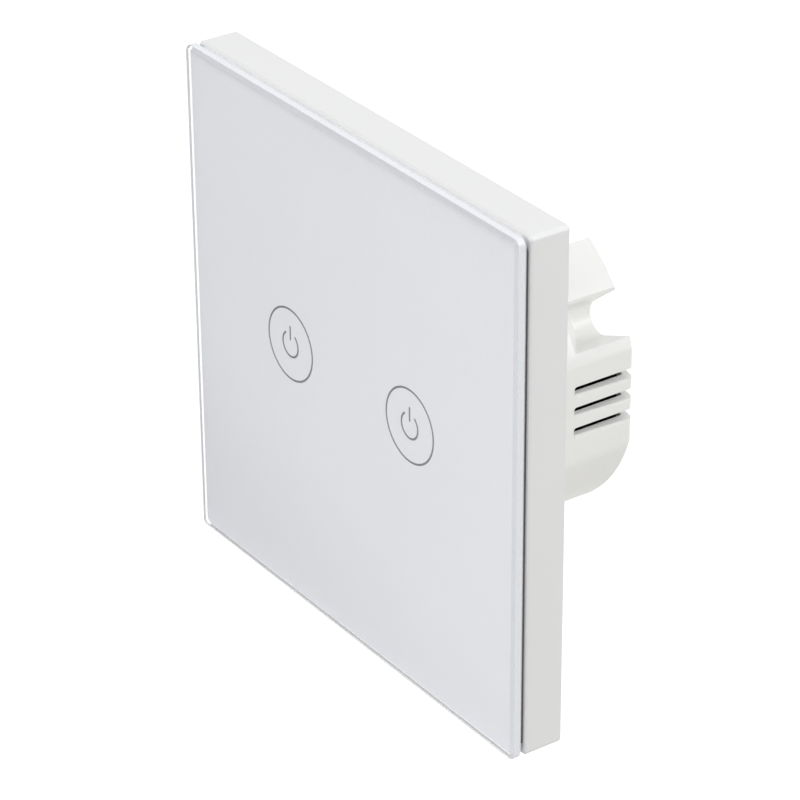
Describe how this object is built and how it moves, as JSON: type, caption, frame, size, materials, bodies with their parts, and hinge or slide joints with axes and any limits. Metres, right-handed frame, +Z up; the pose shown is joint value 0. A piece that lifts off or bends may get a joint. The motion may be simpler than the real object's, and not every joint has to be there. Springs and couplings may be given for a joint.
{
  "type": "smart light switch",
  "caption": "Square glass-fronted touch light switch with ring marks, white frame and a round rear housing with wells, vents and screw terminals for a wall box.",
  "frame": {"origin": "middle of the mounting plane, between the two box screw slots, on the flange's rear face", "axes": "+Y into the wall, square to the glass; +X to the right and +Z up as seen from the room"},
  "size_m": [0.086, 0.0357, 0.086],
  "materials": {
    "glass": "polished, with ground edges",
    "printed_film": "smooth white print",
    "frame_plastic": "satin white moulding",
    "housing_plastic": "semi-gloss white moulding",
    "carrier_plastic": "white moulding",
    "screw_steel": "zinc plated",
    "board": "solder mask",
    "module_board": "dark solder mask",
    "chip_black": "moulded",
    "chip_resistor": "coated",
    "shield_tin": "tin plated",
    "copper": "bare copper",
    "lamp": "clear resin",
    "clear_plastic": "milky translucent",
    "spring_wire": "nickel plated",
    "header_plastic": "moulded",
    "pin_metal": "gold plated",
    "terminal_plastic": "black moulding",
    "terminal_metal": "zinc plated",
    "contact_metal": "tinned copper",
    "relay_case": "dark moulding",
    "coil_copper": "enamelled wire",
    "relay_iron": "plated soft iron",
    "ferrite": "sintered",
    "winding_tape": "polyester tape",
    "capacitor_sleeve": "shrink sleeve",
    "varistor_coat": "epoxy coat",
    "film_box": "moulded box",
    "fuse_coat": "flameproof coat"
  },
  "bodies": {
    "base": {"rear_housing": "housing_plastic", "board_carrier": "carrier_plastic", "touch_board": "board", "touch_chip": "chip_black", "touch_board_parts": "chip_resistor", "radio_module": "module_board", "radio_shield": "shield_tin", "radio_antenna": "copper", "ring_leds": "lamp", "header_pins": "pin_metal", "header_socket": "header_plastic", "power_board": "board", "terminal_block": "terminal_plastic", "terminal_contacts": "contact_metal", "transformer_core": "ferrite", "transformer_coil": "winding_tape", "mains_capacitor": "capacitor_sleeve", "varistor": "varistor_coat", "film_capacitor": "film_box", "fuse_resistor": "fuse_coat", "rectifier": "chip_black", "touch_spring_left": "spring_wire", "light_guide_left": "clear_plastic", "relay_base_left": "relay_case", "relay_cover_left": "relay_case", "relay_coil_left": "coil_copper", "relay_yoke_left": "relay_iron", "relay_contact_left": "contact_metal", "touch_spring_right": "spring_wire", "light_guide_right": "clear_plastic", "relay_base_right": "relay_case", "relay_cover_right": "relay_case", "relay_coil_right": "coil_copper", "relay_yoke_right": "relay_iron", "relay_contact_right": "contact_metal"},
    "front_panel": {"glass_panel": "glass", "panel_film": "printed_film", "front_frame": "frame_plastic"},
    "clamp_screw_1": {"terminal_screw_1": "screw_steel"},
    "clamp_cage_1": {"terminal_clamp_1": "terminal_metal"},
    "clamp_screw_2": {"terminal_screw_2": "screw_steel"},
    "clamp_cage_2": {"terminal_clamp_2": "terminal_metal"},
    "clamp_screw_3": {"terminal_screw_3": "screw_steel"},
    "clamp_cage_3": {"terminal_clamp_3": "terminal_metal"},
    "clamp_screw_4": {"terminal_screw_4": "screw_steel"},
    "clamp_cage_4": {"terminal_clamp_4": "terminal_metal"},
    "armature_left": {"relay_armature_left": "relay_iron"},
    "armature_right": {"relay_armature_right": "relay_iron"}
  },
  "joints": [
    {"name": "front_pull", "type": "slide", "parent": "base", "child": "front_panel", "axis": [0, -1, 0], "range_m": [0, 0.03]},
    {"name": "screw_turn_1", "type": "hinge", "parent": "base", "child": "clamp_screw_1", "pos_m": [-0.00953, 0.015, 0.01655], "axis": [0, -1, 0], "range_deg": [0, 1440]},
    {"name": "clamp_rise_1", "type": "slide", "parent": "base", "child": "clamp_cage_1", "axis": [0, 1, 0], "range_m": [0, 0.002]},
    {"name": "screw_turn_2", "type": "hinge", "parent": "base", "child": "clamp_screw_2", "pos_m": [-0.00317, 0.015, 0.01655], "axis": [0, -1, 0], "range_deg": [0, 1440]},
    {"name": "clamp_rise_2", "type": "slide", "parent": "base", "child": "clamp_cage_2", "axis": [0, 1, 0], "range_m": [0, 0.002]},
    {"name": "screw_turn_3", "type": "hinge", "parent": "base", "child": "clamp_screw_3", "pos_m": [0.00317, 0.015, 0.01655], "axis": [0, -1, 0], "range_deg": [0, 1440]},
    {"name": "clamp_rise_3", "type": "slide", "parent": "base", "child": "clamp_cage_3", "axis": [0, 1, 0], "range_m": [0, 0.002]},
    {"name": "screw_turn_4", "type": "hinge", "parent": "base", "child": "clamp_screw_4", "pos_m": [0.00953, 0.015, 0.01655], "axis": [0, -1, 0], "range_deg": [0, 1440]},
    {"name": "clamp_rise_4", "type": "slide", "parent": "base", "child": "clamp_cage_4", "axis": [0, 1, 0], "range_m": [0, 0.002]},
    {"name": "armature_tilt_left", "type": "hinge", "parent": "base", "child": "armature_left", "pos_m": [-0.006, 0.0158, -0.002], "axis": [-1, 0, 0], "range_deg": [0, 4.5], "stiffness_Nm_per_rad": 0.0004, "springref_deg": -8.59},
    {"name": "armature_tilt_right", "type": "hinge", "parent": "base", "child": "armature_right", "pos_m": [0.006, 0.0158, -0.002], "axis": [-1, 0, 0], "range_deg": [0, 4.5], "stiffness_Nm_per_rad": 0.0004, "springref_deg": -8.59}
  ],
  "couplings": [
    {"joint": "screw_turn_1", "follows": "clamp_rise_1", "rad_per_m": 12566},
    {"joint": "screw_turn_2", "follows": "clamp_rise_2", "rad_per_m": 12566},
    {"joint": "screw_turn_3", "follows": "clamp_rise_3", "rad_per_m": 12566},
    {"joint": "screw_turn_4", "follows": "clamp_rise_4", "rad_per_m": 12566}
  ]
}
